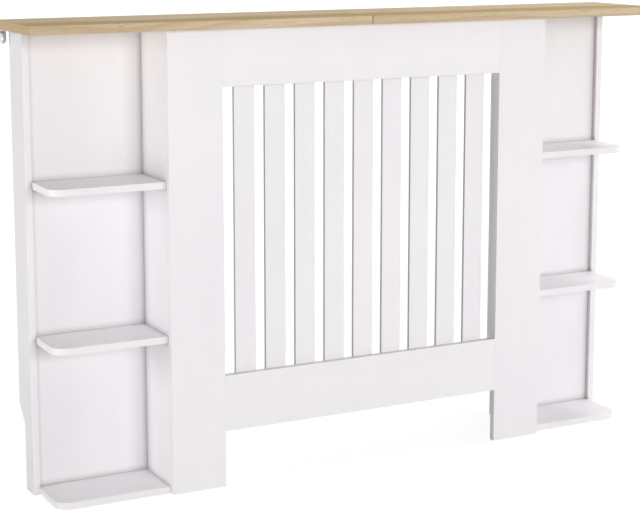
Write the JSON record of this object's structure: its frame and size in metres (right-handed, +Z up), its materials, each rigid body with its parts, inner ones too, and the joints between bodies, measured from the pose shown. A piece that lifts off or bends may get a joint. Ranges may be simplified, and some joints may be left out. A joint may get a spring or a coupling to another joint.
{
  "type": "radiator cover cabinet",
  "caption": "White slatted radiator cover with an oak-effect top and open corner shelves at both ends; it stands on the floor against a wall.",
  "frame": {"origin": "on the floor, under the middle of the overall box", "axes": "+X to the right seen from the front, +Y into the wall behind the cover, +Z up"},
  "size_m": [1.23, 0.195, 0.81],
  "materials": {
    "oak_effect": "oak-effect laminate, satin",
    "white_paint": "painted fibreboard, satin white",
    "batten_wood": "painted softwood, white",
    "beech": "fluted beech, raw",
    "zinc_alloy": "die-cast, dull",
    "plated_steel": "zinc-plated",
    "screw_steel": "zinc-plated"
  },
  "bodies": {
    "root": {"batten_screws": "screw_steel", "bay_dowels": "beech", "bay_panel_left": "white_paint", "bay_panel_right": "white_paint", "cam_bolts": "zinc_alloy", "cams": "zinc_alloy", "inner_side_left": "white_paint", "inner_side_right": "white_paint", "joining_plate": "plated_steel", "lower_rail": "white_paint", "outer_side_left": "white_paint", "outer_side_right": "white_paint", "panel_screws": "screw_steel", "rail_dowels": "beech", "shelf_1_left": "white_paint", "shelf_1_right": "white_paint", "shelf_2_left": "white_paint", "shelf_2_right": "white_paint", "shelf_3_left": "white_paint", "shelf_3_right": "white_paint", "shelf_dowels": "beech", "shelf_screws": "screw_steel", "slat_1": "white_paint", "slat_2": "white_paint", "slat_3": "white_paint", "slat_4": "white_paint", "slat_5": "white_paint", "slat_6": "white_paint", "slat_7": "white_paint", "slat_8": "white_paint", "slat_9": "white_paint", "slat_screws": "screw_steel", "stile_dowels": "beech", "stile_left": "white_paint", "stile_right": "white_paint", "top_board_left": "oak_effect", "top_board_right": "oak_effect", "top_cleat": "batten_wood", "top_dowels": "beech", "top_rail": "white_paint", "top_screws": "screw_steel", "upright_batten_left": "batten_wood", "upright_batten_right": "batten_wood", "wall_bracket_left": "plated_steel", "wall_bracket_right": "plated_steel"}
  },
  "joints": []
}
